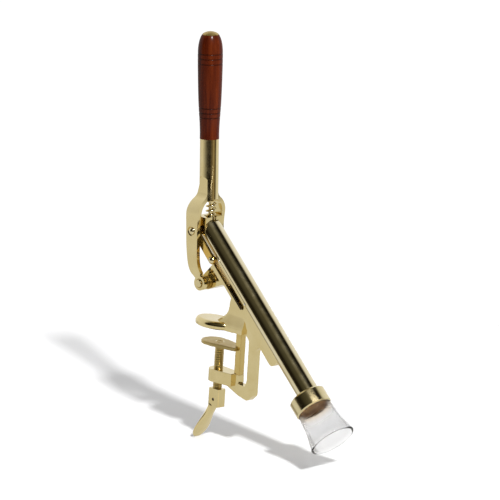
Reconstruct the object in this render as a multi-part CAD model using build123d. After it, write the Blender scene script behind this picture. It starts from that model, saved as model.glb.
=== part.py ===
from build123d import *
import os
from math import atan2, cos, degrees, hypot, pi, radians, sin, sqrt

# A counter-clamped lever corkscrew, closed, with its lever raised.
# Origin: centre of the clamp screw on the underside of the upper jaw. X points away from
# the counter, Z points up, and Y is the way the pivots run.

# Driving dimensions, in millimetres and degrees

# Linkage
pivot_x = -38.8             # middle pivot, where the lever drives the links
pivot_z = 118.0
barrel_tilt = 47.5          # barrel, measured from the vertical
lever_lean = 3.8            # raised lever, leaning back from the vertical
pivot_behind = 9.7          # middle pivot behind the axis of the barrel
fulcrum_down = 56.8         # fulcrum along the barrel, from the middle pivot
fulcrum_behind = 43.0       # fulcrum behind the axis of the barrel
pin_down = 44.6             # crosshead pin along the barrel, from the middle pivot
pin_behind = 11.0

# Fits
running_fit = 0.05          # radial, pins and shafts that turn
seat_fit = 0.02             # radial, parts that are fixed in their holes
side_gap = 0.3              # between faces of parts that move past each other
overrun = 2.0               # how far every cut runs past its face

# Barrel
barrel_r = 14.0
barrel_wall = 1.5
barrel_bore = barrel_r - barrel_wall
barrel_top = -6.0
slot_edge = 0.5             # what the slot in the back of the barrel leaves of the bore
slot_half = barrel_bore - slot_edge
slot_top = 38.5
slot_end = 165.0

# Head
head_proud = 0.1            # sides of the head outside those of the barrel
head_half = barrel_r + head_proud
head_front_x = 16.0         # from the middle pivot, as are the next three
head_rear_x = -10.0
head_top_z = 18.9
head_foot_z = -3.0
head_round = 9.0
head_seat_z = 14.0          # floor of the round recess that the catch spring stands in
head_spigot_end = 20.0      # along the barrel, from the middle pivot

# Rail
rail_inset = 1.0            # sides of the rail inside those of the barrel
rail_half = barrel_r - rail_inset
rail_wall = 2.5
rail_top = 41.0             # top of the back wall, along the barrel from the middle pivot
rail_side_top = 49.0        # top of the side walls, below the exposed crosshead pin
rail_end = 205.0
rail_back_top = 18.0        # back of the rail behind the axis of the barrel
rail_back_end = 20.5
rail_corner = 7.0
rail_edge = 1.0
window_near = 7.2           # window in the side of the rail, behind the axis of the barrel
window_far = 15.4
window_end = 121.5
boss_r = 9.0
boss_top = 48.0             # upper edge of the fulcrum bracket
bracket_foot = 80.0
bracket_corner = 4.0
pocket_depth = 4.0
pocket_rim = 3.0
strip_near = 2.6            # wear strip, behind the axis of the barrel
strip_far = 4.8
strip_start = 46.0
strip_end = 121.0

# Collar, gasket and bell
bell_behind = 5.2           # axis of the collar and bell behind that of the barrel
collar_web = 4.55           # metal of the collar where it comes nearest to the barrel
collar_r = barrel_r + bell_behind + collar_web
collar_start = 259.2
collar_depth = 22.0
collar_end = collar_start + collar_depth
collar_bevel = 2.2
collar_seat_wall = 1.5
barrel_in_collar = 10.8
barrel_end = collar_start + barrel_in_collar
gasket_thick = 2.5
gasket_clear = 0.5          # hole of the gasket round the bore of the barrel
glass_reach = 46.8          # mouth of the bell below the collar
glass_end = collar_end + glass_reach
glass_flare = 5.85          # mouth of the bell outside the collar
glass_mouth_r = collar_r + glass_flare
glass_wall = 2.4
glass_rim_wall = 3.2

# Fulcrum
fulcrum_pin_r = 4.0
fulcrum_head_r = 4.7
fulcrum_head_thick = 1.6
bush_r = 6.0
bush_flange_r = 8.0
fulcrum_nut_r = 6.2
fulcrum_nut_thick = 3.2

# Catch
catch_x = 9.1               # from the middle pivot
seat_r = 7.6
spring_r = 6.75
spring_wire = 2.5
spring_turns = 3.5
spring_height = 23.7
spring_gap = 0.1
plunger_r = 3.2
plunger_flange_r = 5.2
plunger_flange_thick = 0.8
plunger_nose = 0.6
plunger_depth = 8.0         # how far the stem of the plunger reaches into the head
plunger_stroke = 2.5
catch_gap = 1.0             # between the nose of the plunger and the arch of the raised lever

# Links
link_clear = 0.4            # between the links and the sides of the barrel
link_inner = barrel_r + link_clear
link_thick = 3.4
link_outer = link_inner + link_thick
link_half = 5.2
link_edge = 0.5

# Lever
lever_front = 7.0           # axis of the grip in front of the middle pivot
stem_r = 11.9
neck_half = 9.6
cheek_inner = link_outer + side_gap
cheek_thick = 5.3
yoke_half = cheek_inner + cheek_thick
catch_top = head_seat_z + spring_height + plunger_flange_thick + plunger_nose
arch_z = catch_top + catch_gap - cheek_inner    # centre of the crotch arch, up the lever
neck_fillet = 9.0
neck_flat_top = 69.0
neck_flat_r = 8.4
stem_foot = 38.0
cheek_width = 20.5
foot_r = 9.1
stem_top = 115.8
grip_top = 246.9
grip_r = 15.7
groove_r = 0.7
cap_r = 9.8
cap_rim = 1.4
cap_height = 4.4
rod_r = 4.0
rod_depth = 16.0            # how far the rod is screwed into the stem
rod_cap_depth = 2.0
stud_r = 3.5
stud_head_r = 5.0
stud_head_height = 3.6
recess_r = 6.2
recess_depth = 1.4

# Crosshead and spindle
pin_r = 3.0
pin_head_r = 4.4
pin_head_height = 2.6
carriage_start = 52.0
carriage_end = 76.0
crosshead_end = 83.0
crosshead_ear_r = 4.2
spindle_r = 4.5
spindle_end = 207.0
button_r = 8.0
button_thick = 4.0
washer_thick = 1.5
nut_length = 20.0
worm_r = 4.7
worm_wire = 3.0
worm_pitch = 10.5
worm_turns = 4.5
worm_shank = 3.0
worm_point = 5.0
worm_tip_r = 0.2

# Clamp
jaw_centre_x = -9.8         # middle of the oval pad
jaw_reach = 29.4
jaw_half = 20.4
jaw_thick = 9.6
jaw_root_x = 46.0
jaw_pad_x = 29.5            # end of the flat that bears on the counter
jaw_relief = 0.6            # how far the rest of the jaw stands above that flat
jaw_crown = 5.5
jaw_edge = 1.2
web_half = 4.7
web_top = 92.0              # top of the web on the rail, along the barrel
web_foot_x = 4.25
web_root_half = 9.5
web_corner = 17.0
column_inner_x = 55.2
column_outer_x = 66.6
column_foot_z = -82.5
column_heel_z = -74.0
column_head_z = -9.6        # where the column leaves the web
column_corner = 9.6
heel_corner = 4.8
foot_set = 2.45             # tip of the foot outside the inner face of the column
foot_corner = 5.5
arm_depth = 9.6             # lower arm, below the screw boss
arm_corner = 17.0
arm_step = 2.0
arm_rise = 5.5
arm_root_set = 2.75
arm_root_rise = 4.0
arm_root_corner = 2.0
boss_end_r = 12.2
boss_upper_z = -52.9
boss_lower_z = -69.0
boss_inner_half = 9.0
boss_heel = 8.0
guide_x = 31.8
guide_width = 9.2
guide_half = 4.5
guide_edge = 0.6
screw_r = 5.5
screw_end = -79.0
throat = 18.5               # opening of the clamp as drawn
lower_jaw_thick = 4.4
lower_jaw_tip_x = -26.7
lower_jaw_half = 16.0
lower_jaw_root_x = 35.5
lower_jaw_root_half = 9.0
lower_jaw_edge = 0.8
screw_neck_r = 3.0
rivet_r = 5.0
rivet_height = 2.0
socket_width = 17.8
socket_half = 6.5
socket_length = 23.0
socket_edge = 1.5
tang_r = 4.0
tang_length = 20.0
handle_pin_r = 1.9
handle_pin_drop = 13.8
handle_pin_recess = 1.2
paddle_start_x = -4.5
paddle_tip_x = -30.5
paddle_tip_z = -147.0
paddle_half = 12.4
paddle_thick = 2.8

# Chosen shapes, as shares of the sizes named beside them

# Grip: share of the grip's length, share of grip_r
grip_shares = (
    (0.0, 0.775), (0.10, 0.78), (0.28, 0.875), (0.55, 0.965), (0.77, 1.0), (0.88, 0.975), (0.95, 0.87), (1.0, 0.69),
)
groove_shares = (0.206, 0.252, 0.298, 0.725, 0.774, 0.821)
# Edges of the cheeks: share of the drop to the fulcrum, share of cheek_width before the pivot
cheek_rear_shares = (
    (-0.95, 0.03), (-0.62, -0.28), (-0.42, -0.43), (-0.1, -0.44), (0.24, -0.42), (0.50, -0.345), (0.66, -0.25),
    (0.76, -0.12), (0.86, 0.2),
)
cheek_front_shares = (
    (0.80, 0.82), (0.70, 0.62), (0.44, 0.51), (0.17, 0.51), (-0.16, 0.53), (-0.36, 0.62), (-0.56, 0.68), (-0.95, 0.64),
)
# Left edge of the web: share of jaw_half before the screw, share of jaw_thick up
web_edge_shares = ((-0.29, 0.7), (0.79, 2.3), (0.916, 4.2))
# Flare of the web into the upper jaw: share of jaw_thick up, share of the flare
web_flare_shares = ((0.6, 1.0), (1.35, 0.36), (2.3, 0.0))
# Spoon of the thumb handle: share of its length, share of its half width, share of its thickness
paddle_shares = ((0.0, 0.64, 1.8), (0.25, 0.6, 1.5), (0.6, 0.96, 1.05), (0.85, 0.94, 0.8), (1.0, 0.5, 0.55))
# Slope of the glass at the collar and at the rim: outward for each unit down
glass_slope_shares = (0.12, 0.22)
# Rounding of the nut: share of its thickness
nut_round_share = 0.33
# Nose of the catch plunger: share of its radius
nose_share = 0.5

# Frames of the barrel and of the lever

tilt = radians(barrel_tilt)
lean = radians(lever_lean)
barrel_down = Vector(sin(tilt), 0, -cos(tilt))
barrel_back = Vector(-cos(tilt), 0, -sin(tilt))
pivot = Vector(pivot_x, 0, pivot_z)
barrel_frame = Plane(origin=pivot - barrel_back * pivot_behind, x_dir=barrel_back, z_dir=barrel_down)
lever_frame = Plane(origin=pivot, x_dir=(cos(lean), 0, sin(lean)), z_dir=(-sin(lean), 0, cos(lean)))


def from_barrel(behind, down):
    """A point beside the barrel, in the frame of the whole part."""
    return barrel_frame.from_local_coords((behind, 0, down))


def in_lever(point):
    """A point of the whole part, in the frame of the lever."""
    return lever_frame.to_local_coords(point)


def on_barrel(shape):
    return barrel_frame.location * shape


def on_lever(shape):
    return lever_frame.location * shape


# Small builders

def rod(radius, start, end, x=0.0):
    """A round bar along Z."""
    return Pos(x, 0, start) * Cylinder(radius, end - start, align=(Align.CENTER, Align.CENTER, Align.MIN))


def pipe(outer, inner, start, end, x=0.0):
    return rod(outer, start, end, x) - rod(inner, start - overrun, end + overrun, x)


def cone(foot, head, start, end, x=0.0):
    return Pos(x, 0, start) * Cone(foot, head, end - start, align=(Align.CENTER, Align.CENTER, Align.MIN))


def dome(radius, height):
    """A cap of a ball, flat side down."""
    ball_r = (radius ** 2 + height ** 2) / (height * 2)
    return Pos(0, 0, height - ball_r) * Sphere(ball_r) & rod(radius, 0, height)


def cross_rod(radius, start, end, x, z):
    """A round bar along Y."""
    bar = Cylinder(radius, end - start, align=(Align.CENTER, Align.CENTER, Align.MIN))
    return Pos(x, start, z) * Rot(-90, 0, 0) * bar


def block(x0, x1, half, z0, z1):
    return Pos((x0 + x1) / 2, 0, (z0 + z1) / 2) * Box(x1 - x0, half * 2, z1 - z0)


def rounded(points):
    """A face from corners (a, b) or (a, b, corner radius)."""
    face = make_face(Polyline([point[:2] for point in points], close=True))
    for point in points:
        if len(point) == 3:
            corner = face.vertices().sort_by_distance((point[0], point[1], 0))[0]
            face = fillet(corner, point[2])
    return face


def side_plate(face, half):
    """A face in X and Z, thickened both ways along Y."""
    return extrude(Plane.XZ * face, amount=half, both=True)


def mirrored(shape):
    """A shape and its twin on the other side of the middle."""
    return shape + mirror(shape, about=Plane.XZ)


def helix_wire(radius, pitch, turns):
    """Quarter-turn biarcs that follow a helix up the Z axis."""
    quarters = round(turns * 4)
    rise = pitch / 4
    slope = rise / (radius * pi / 2)

    def station(index):
        angle = pi / 2 * index
        place = Vector(radius * cos(angle), radius * sin(angle), rise * index)
        return place, Vector(-sin(angle), cos(angle), slope).normalized()

    edges = []
    for index in range(quarters):
        start, way_in = station(index)
        end, way_out = station(index + 1)
        chord = end - start
        both = chord.dot(way_in + way_out)
        spread = 2 * (1 - way_in.dot(way_out))
        reach = (sqrt(both * both + spread * chord.dot(chord)) - both) / spread
        joint = (start + end + (way_in - way_out) * reach) / 2
        joint_way = (end - start - (way_in + way_out) * reach).normalized()
        edges.append(Edge.make_tangent_arc(start, way_in, joint))
        edges.append(Edge.make_tangent_arc(joint, joint_way, end))
    return Wire(edges), station(0), station(quarters)


def least_gap(path, wire):
    """Least gap of a coiled wire to itself, between points over half a turn apart."""
    samples = round(path.length / wire * 3)
    points = [path.position_at(index / samples) for index in range(samples + 1)]
    apart = 6
    gaps = [
        (points[i] - points[j]).length - wire
        for i in range(len(points))
        for j in range(i + apart, len(points))
    ]
    return min(gaps)


def coil(radius, wire, pitch, turns, name):
    """One unbroken tube, wound round the Z axis."""
    path, (start, way), end = helix_wire(radius, pitch, turns)
    tube = sweep(Plane(origin=start, z_dir=way) * Circle(wire / 2), path=path)
    print(name, "least gap to itself, mm:", round(least_gap(path, wire), 2))
    return tube, end


# Barrel, head and what sits inside

barrel_skin = rod(barrel_r + running_fit, barrel_top, barrel_end + overrun)


def head_block(half):
    """The block that closes the barrel: flat on top and in front, round at the back."""
    face = rounded([
        (pivot_x + head_front_x, pivot_z + head_top_z),
        (pivot_x + head_rear_x, pivot_z + head_top_z, head_round),
        (pivot_x + head_rear_x, pivot_z + head_foot_z, head_round),
        (pivot_x + head_front_x, pivot_z + head_foot_z),
    ])
    return side_plate(face, half)


def catch_hole():
    """The hole that the stem of the catch plunger slides in."""
    top = pivot_z + head_seat_z + overrun
    return rod(plunger_r + running_fit, top - plunger_depth - plunger_stroke * 2, top, pivot_x + catch_x)


def above_head():
    """The space over the floor of the spring recess, which also cuts the crown of the tube."""
    return block(pivot_x + head_rear_x - barrel_r, pivot_x + head_front_x + barrel_r * 2, barrel_r + overrun,
                 pivot_z + head_seat_z, pivot_z + head_seat_z + barrel_r * 2)


def make_barrel_tube():
    """The tube, notched round the head block, with a slot at its back for the crosshead."""
    tube = pipe(barrel_r, barrel_bore, barrel_top, barrel_end)
    slot = block(0, barrel_r + overrun, slot_half, slot_top, slot_end)
    return on_barrel(tube - slot) - above_head() - head_block(barrel_r + overrun)


def make_barrel_head():
    spigot = on_barrel(rod(barrel_bore - seat_fit, barrel_top, head_spigot_end)) - above_head()
    recess = rod(seat_r, pivot_z + head_seat_z, pivot_z + head_top_z + overrun, pivot_x + catch_x)
    return head_block(head_half) + spigot - recess - catch_hole()


def make_spindle_nut():
    outer = pipe(barrel_bore - seat_fit, spindle_r + running_fit, slot_end, slot_end + nut_length)
    return on_barrel(outer)


def make_collar():
    ring = rod(collar_r, collar_start, collar_end, bell_behind)
    ring = chamfer(ring.edges().filter_by(GeomType.CIRCLE), collar_bevel)
    tube_seat = rod(barrel_r + seat_fit, collar_start - overrun, barrel_end)
    mouth_seat = rod(collar_r - collar_seat_wall, barrel_end, collar_end + overrun, bell_behind)
    return on_barrel(ring - tube_seat - mouth_seat)


def make_bell_gasket():
    """A soft ring that fills the seat in the collar down to the bore of the barrel."""
    end = barrel_end + gasket_thick
    ring = rod(collar_r - collar_seat_wall - seat_fit, barrel_end, end, bell_behind)
    return on_barrel(ring - rod(barrel_bore + gasket_clear, barrel_end - overrun, end + overrun))


def make_bell_glass():
    """Flared glass: a straight neck in the collar, then a slightly hollow flare to a thicker rim."""
    neck_r = collar_r - collar_seat_wall - side_gap
    neck_start = barrel_end + gasket_thick
    flare_r = (neck_r + glass_mouth_r) / 2 - glass_wall / 2
    flare_z = (collar_end + glass_end) / 2
    neck_slope, rim_slope = glass_slope_shares
    outer = Spline(
        (neck_r, collar_end), (flare_r, flare_z), (glass_mouth_r, glass_end - glass_rim_wall / 2),
        tangents=((neck_slope, 1), (rim_slope, 1)),
    )
    inner = Spline(
        (glass_mouth_r - glass_rim_wall, glass_end - glass_rim_wall / 2),
        (flare_r - glass_wall, flare_z), (neck_r - glass_wall, collar_end),
        tangents=((-rim_slope, -1), (-neck_slope, -1)),
    )
    rim = ThreePointArc(outer @ 1, (glass_mouth_r - glass_rim_wall / 2, glass_end), inner @ 0)
    neck = Polyline(inner @ 1, (neck_r - glass_wall, neck_start), (neck_r, neck_start), outer @ 0)
    face = Plane.XZ * make_face([outer, rim, inner, neck])
    return on_barrel(Pos(bell_behind, 0, 0) * revolve(face, Axis.Z))


# Rail with the bracket of the fulcrum

def rail_body(half):
    return side_plate(rounded([
        (0, rail_top),
        (rail_back_top, rail_top, rail_wall - rail_edge / 2),
        (rail_back_end, rail_end, rail_corner),
        (0, rail_end),
    ]), half)


def make_rail_housing():
    """Rail with its side windows, and the bracket that carries the fulcrum."""
    rail = rail_body(rail_half)
    bracket_face = rounded([
        (pin_behind, boss_top, bracket_corner),
        (fulcrum_behind, fulcrum_down - boss_r),
        (fulcrum_behind + boss_r / 3, fulcrum_down + boss_r),
        (rail_back_top + bracket_corner, bracket_foot - bracket_corner, bracket_corner),
        (pin_behind, bracket_foot + bracket_corner),
    ])
    bracket = side_plate(bracket_face, rail_half)
    bracket += cross_rod(boss_r, -rail_half, rail_half, fulcrum_behind, fulcrum_down)
    housing = rail + bracket
    cavity_half = rail_half - rail_wall
    cavity = block(0, rail_back_top - rail_wall, cavity_half, rail_top - overrun, slot_end)
    window_r = (window_far - window_near) / 2
    side = rail_half + overrun
    window = block(window_near, window_far, side, rail_top - overrun, window_end - window_r)
    window += cross_rod(window_r, -side, side, (window_near + window_far) / 2, window_end - window_r)
    open_top = block(0, rail_back_top - rail_wall, rail_half + overrun, rail_top - overrun, rail_side_top)
    housing = housing - barrel_skin - cavity - window - open_top
    housing -= cross_rod(fulcrum_pin_r + seat_fit, -rail_half - overrun, rail_half + overrun,
                         fulcrum_behind, fulcrum_down)
    pocket_face = rounded([
        (rail_back_top + pocket_rim, boss_top + pocket_rim, rail_edge),
        (fulcrum_behind - boss_r - pocket_rim / 2, fulcrum_down - boss_r / 2, rail_edge),
        (fulcrum_behind - boss_r - pocket_rim / 2, fulcrum_down + boss_r / 2, rail_edge),
        (rail_back_top + pocket_rim, bracket_foot - bracket_corner * 2, rail_edge),
    ])
    pocket = side_plate(pocket_face, rail_half + overrun) - side_plate(pocket_face, rail_half - pocket_depth)
    return on_barrel(housing - pocket)


def make_wear_strips():
    foot = rail_half + running_fit
    strip = Pos((strip_near + strip_far) / 2, (foot + head_half) / 2, (strip_start + strip_end) / 2) * Box(
        strip_far - strip_near, head_half - foot, strip_end - strip_start)
    return on_barrel(mirrored(strip - barrel_skin))


def make_fulcrum_pin():
    cheek = yoke_half + side_gap
    pin = cross_rod(fulcrum_pin_r, -cheek, cheek + fulcrum_nut_thick, fulcrum_behind, fulcrum_down)
    head = cross_rod(fulcrum_head_r, -cheek - fulcrum_head_thick, -cheek, fulcrum_behind, fulcrum_down)
    head = fillet(head.edges().group_by(Axis.Y)[0], fulcrum_head_thick / 2)
    return on_barrel(pin + head)


def make_fulcrum_nut():
    start = yoke_half + side_gap
    end = start + fulcrum_nut_thick
    nut = cross_rod(fulcrum_nut_r, start, end, fulcrum_behind, fulcrum_down)
    nut = fillet(nut.edges().group_by(Axis.Y)[-1], fulcrum_nut_thick * nut_round_share)
    hole = cross_rod(fulcrum_pin_r + seat_fit, start - overrun, end + overrun, fulcrum_behind, fulcrum_down)
    return on_barrel(nut - hole)


# Catch on top of the head

spring_foot = pivot_z + head_seat_z
spring_pitch = (spring_height - spring_wire - spring_gap * 2) / spring_turns


def make_catch_spring():
    tube, end = coil(spring_r - spring_wire / 2, spring_wire, spring_pitch, spring_turns, "catch_spring")
    return Pos(pivot_x + catch_x, 0, spring_foot + spring_gap + spring_wire / 2) * tube


def make_catch_plunger():
    axis_x = pivot_x + catch_x
    flange = spring_foot + spring_height
    top = flange + plunger_flange_thick
    stem = rod(plunger_r, spring_foot - plunger_depth, flange, axis_x)
    nose = cone(plunger_r, plunger_r * nose_share, top, top + plunger_nose, axis_x)
    return stem + rod(plunger_flange_r, flange, top, axis_x) + nose


# Lever

fulcrum = in_lever(from_barrel(fulcrum_behind, fulcrum_down))


def cheek_side():
    """Side outline of the yoke: two smooth edges that run down into the round foot."""
    drop = -fulcrum.Z
    rear_edge = Spline([(share * cheek_width, -fall * drop) for fall, share in cheek_rear_shares])
    front_edge = Spline([(share * cheek_width, -fall * drop) for fall, share in cheek_front_shares])
    foot = Polyline(rear_edge @ 1, (fulcrum.X, fulcrum.Z), front_edge @ 0)
    top = Line(front_edge @ 1, rear_edge @ 0)
    face = make_face([rear_edge, foot, front_edge, top])
    return face + Pos(fulcrum.X, fulcrum.Z) * Circle(foot_r)


def yoke_front():
    """Front outline of the yoke: neck, round shoulders and straight cheeks."""
    foot = fulcrum.Z - foot_r - overrun
    neck = Pos(0, (neck_flat_top + arch_z) / 2) * Rectangle(neck_half * 2, neck_flat_top - arch_z)
    shoulders = Pos(0, arch_z) * Circle(yoke_half)
    cheeks = Pos(0, (arch_z + foot) / 2) * Rectangle(yoke_half * 2, arch_z - foot)
    face = neck + shoulders + cheeks
    meet_z = arch_z + sqrt(yoke_half ** 2 - neck_half ** 2)
    for side in (-neck_half, neck_half):
        corner = face.vertices().sort_by_distance((side, meet_z, 0))[0]
        face = fillet(corner, neck_fillet)
    return face


def make_lever_yoke():
    sides = side_plate(cheek_side(), yoke_half + overrun)
    front = extrude(Plane.YZ * yoke_front(), amount=cheek_width * 2, both=True)
    yoke = sides & front
    stem = rod(stem_r, stem_foot, stem_top, lever_front)
    flat = Pos(lever_front, neck_flat_top - neck_flat_r) * Circle(neck_flat_r)
    flat += Pos(lever_front, (neck_flat_top - neck_flat_r + stem_foot - overrun) / 2) * Rectangle(
        neck_flat_r * 3, neck_flat_top - neck_flat_r - stem_foot + overrun)
    trim = side_plate(flat, yoke_half) - side_plate(flat, neck_half)
    yoke += stem - trim
    foot = fulcrum.Z - foot_r - overrun
    gap = Pos(0, arch_z) * Circle(cheek_inner)
    gap += Pos(0, (arch_z + foot) / 2) * Rectangle(cheek_inner * 2, arch_z - foot)
    yoke -= extrude(Plane.YZ * gap, amount=cheek_width * 2, both=True)
    yoke -= rod(rod_r + seat_fit, stem_top - rod_depth, stem_top + overrun, lever_front)
    for side in (-1, 1):
        inner, outer = sorted((side * cheek_inner - side * overrun, side * yoke_half + side * overrun))
        yoke -= cross_rod(bush_r + seat_fit, inner, outer, fulcrum.X, fulcrum.Z)
        yoke -= cross_rod(stud_r + seat_fit, inner, outer, 0, 0)
        near, far = sorted((side * yoke_half - side * recess_depth, side * yoke_half + side * overrun))
        yoke -= cross_rod(recess_r, near, far, 0, 0)
    return on_lever(yoke)


def radius_at(edge, height):
    """Radius of a rising outline at a height, by halving."""
    low, high = 0.0, 1.0
    for _ in range(30):
        middle = (low + high) / 2
        if (edge @ middle).Y < height:
            low = middle
        else:
            high = middle
    return (edge @ low).X


def make_lever_grip():
    """Turned wood: one smooth outline with two groups of three round grooves."""
    length = grip_top - stem_top
    edge = Spline([(grip_r * share, stem_top + length * along) for along, share in grip_shares])
    bore_r = rod_r + running_fit
    face = make_face([edge, Polyline(edge @ 1, (bore_r, grip_top), (bore_r, stem_top), edge @ 0)])
    for along in groove_shares:
        height = stem_top + length * along
        face -= Pos(radius_at(edge, height) + groove_r / 2, height) * Circle(groove_r)
    grip = revolve(Plane.XZ * face, Axis.Z)
    return on_lever(Pos(lever_front, 0, 0) * grip)


def make_grip_cap():
    cap = rod(cap_r, grip_top, grip_top + cap_rim, lever_front)
    cap += Pos(lever_front, 0, grip_top + cap_rim) * dome(cap_r, cap_height - cap_rim)
    return on_lever(cap - rod(rod_r + seat_fit, grip_top - overrun, grip_top + rod_cap_depth, lever_front))


def make_grip_rod():
    return on_lever(rod(rod_r, stem_top - rod_depth, grip_top + rod_cap_depth, lever_front))


def make_link_studs():
    """Two domed studs, each ending in the inner face of its own cheek."""
    floor = yoke_half - recess_depth
    shank = cross_rod(stud_r, cheek_inner, floor, 0, 0)
    head = Pos(0, floor, 0) * Rot(-90, 0, 0) * dome(stud_head_r, stud_head_height)
    return on_lever(mirrored(shank + head))


def make_fulcrum_bushes():
    sleeve = cross_rod(bush_r, rail_half + side_gap, yoke_half, fulcrum.X, fulcrum.Z)
    flange = cross_rod(bush_flange_r, rail_half + side_gap, cheek_inner, fulcrum.X, fulcrum.Z)
    bore = cross_rod(fulcrum_pin_r + running_fit, 0, yoke_half + overrun, fulcrum.X, fulcrum.Z)
    return on_lever(mirrored(sleeve + flange - bore))


# Links

def make_side_links():
    """Two straight links with round eyes, from the middle pivots to the crosshead pin."""
    run = pin_down
    rise = pin_behind - pivot_behind
    length = hypot(run, rise)
    body = SlotCenterToCenter(length, link_half * 2)
    turn = degrees(atan2(run, rise))
    centre = ((pivot_behind + pin_behind) / 2, run / 2)
    face = Pos(*centre) * Rot(0, 0, turn) * body
    link = extrude(Plane.XZ * face, amount=-link_thick)
    link = Pos(0, link_inner, 0) * chamfer(link.edges().group_by(Axis.Y)[-1], link_edge)
    link -= cross_rod(pin_r + running_fit, 0, link_outer + overrun, pin_behind, pin_down)
    return on_barrel(mirrored(link))


# Crosshead and spindle

def make_crosshead():
    cavity_half = rail_half - rail_wall
    depth = rail_back_top - rail_wall - side_gap
    width = cavity_half - side_gap
    body = block(0, depth, width, pin_down, crosshead_end)
    body += cross_rod(crosshead_ear_r, -width, width, pin_behind, pin_down)
    body -= rod(button_r + side_gap, pin_down - crosshead_ear_r - overrun, carriage_start)
    body += rod(barrel_bore - side_gap, carriage_start, carriage_end)
    body -= rod(spindle_r + running_fit, pin_down - overrun, crosshead_end + overrun)
    body -= block(-overrun, spindle_r + side_gap, width + overrun, carriage_end, crosshead_end + overrun)
    body -= cross_rod(pin_r + seat_fit, -barrel_r, barrel_r, pin_behind, pin_down)
    return on_barrel(body)


def make_crosshead_pin():
    """Pin with a domed head outside each link."""
    seat = link_outer + running_fit
    head = Pos(pin_behind, seat, pin_down) * Rot(-90, 0, 0) * dome(pin_head_r, pin_head_height)
    return on_barrel(cross_rod(pin_r, -seat, seat, pin_behind, pin_down) + mirrored(head))


def make_thrust_washer():
    start = carriage_start - washer_thick
    return on_barrel(pipe(button_r, spindle_r + running_fit, start, carriage_start))


def make_spindle_head():
    end = carriage_start - washer_thick - running_fit
    button = pipe(button_r, spindle_r + seat_fit, end - button_thick, end)
    return on_barrel(button)


def make_spindle():
    return on_barrel(rod(spindle_r, carriage_start - washer_thick - button_thick - running_fit, spindle_end))


def make_worm():
    """An open wire helix under a short shank, with a pointed end."""
    tube, (end, way) = coil(worm_r - worm_wire / 2, worm_wire, worm_pitch, worm_turns, "worm")
    point = Plane(origin=end, z_dir=way).location * cone(worm_wire / 2, worm_tip_r, 0, worm_point)
    shank = rod(worm_r, -worm_shank, worm_wire / 2)
    return on_barrel(Pos(0, 0, spindle_end + worm_shank) * (tube + point + shank))


# Clamp

def tongue(tip_x, half, root_x, root_half):
    """Plan of a jaw: a round end, and sides that close in towards the root."""
    plan = Pos(tip_x + half, 0) * Circle(half)
    return plan + make_face(Polyline([
        (tip_x + half, -half), (0, -half), (root_x, -root_half), (root_x, root_half), (0, half), (tip_x + half, half),
    ], close=True))


def web_flare():
    """The web broadens into the upper jaw in a hollow curve."""
    sections = []
    for rise, flare in web_flare_shares:
        half = web_half + (web_root_half - web_half) * flare
        left = jaw_half * (web_edge_shares[1][0] - (web_edge_shares[1][0] - web_edge_shares[0][0]) * flare)
        plane = Plane.XY.offset(jaw_thick * rise)
        sections.append(plane * Pos((left + jaw_root_x) / 2, 0) * Rectangle(jaw_root_x - left, half * 2))
    return loft(sections)


boss_inner_x = guide_x + guide_width


def make_clamp_frame():
    """Upper jaw, web, column, lower arm and screw boss in one casting, seated on the back of the rail."""
    jaw = extrude(Pos(jaw_centre_x, 0) * Ellipse(jaw_reach, jaw_half), amount=jaw_thick)
    jaw = fillet(jaw.edges().group_by(Axis.Z)[-1], jaw_crown)
    jaw = chamfer(jaw.edges().group_by(Axis.Z)[0], jaw_edge)
    jaw += block(0, jaw_root_x, web_root_half, 0, jaw_thick * web_flare_shares[0][0])
    jaw -= block(jaw_pad_x, jaw_root_x + overrun, jaw_half + overrun, -overrun, jaw_relief)
    upper = from_barrel(pin_behind, web_top)
    lower = from_barrel(pin_behind, rail_end - rail_corner * 2)
    web_edge = [(jaw_half * ahead, jaw_thick * rise) for ahead, rise in web_edge_shares]
    web_face = rounded([
        web_edge[0],
        (*web_edge[1], web_corner),
        (*web_edge[2], web_corner),
        (upper.X, upper.Z),
        (lower.X, lower.Z),
        (column_outer_x, column_head_z, column_corner),
        (column_outer_x, column_heel_z, heel_corner),
        (column_inner_x + foot_set, column_foot_z, foot_corner),
        (boss_inner_x, boss_lower_z - arm_depth, arm_corner),
        (boss_end_r, boss_lower_z + arm_step),
        (boss_inner_x - arm_rise, boss_lower_z + arm_rise),
        (column_inner_x - arm_root_set, boss_lower_z + arm_root_rise, arm_root_corner),
        (column_inner_x, boss_upper_z - arm_root_rise, foot_corner),
        (column_inner_x, jaw_relief, column_corner),
        (web_foot_x, jaw_relief),
    ])
    web = side_plate(web_face, web_half)
    boss_face = Circle(boss_end_r) + make_face(Polyline([
        (0, -boss_end_r), (guide_x, -boss_inner_half), (guide_x, -guide_half), (boss_inner_x, -guide_half),
        (boss_inner_x, guide_half), (guide_x, guide_half), (guide_x, boss_inner_half), (0, boss_end_r),
    ], close=True))
    boss = Pos(0, 0, boss_lower_z) * extrude(boss_face, amount=boss_upper_z - boss_lower_z)
    boss = chamfer(boss.edges().group_by(Axis.Z)[-1] + boss.edges().group_by(Axis.Z)[0], jaw_edge / 2)
    boss &= side_plate(rounded([
        (-boss_end_r, boss_upper_z), (-boss_end_r, boss_lower_z), (boss_inner_x, boss_lower_z, boss_heel),
        (boss_inner_x, boss_upper_z),
    ]), boss_end_r)
    frame = jaw + web_flare() + web + boss - on_barrel(rail_body(rail_half + overrun))
    return frame - rod(screw_r + running_fit * 2, boss_lower_z - overrun, boss_upper_z + overrun)


def make_guide_bar():
    bar = block(guide_x, guide_x + guide_width, guide_half, boss_upper_z, jaw_relief)
    return chamfer(bar.edges().filter_by(Axis.Z), guide_edge)


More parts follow.
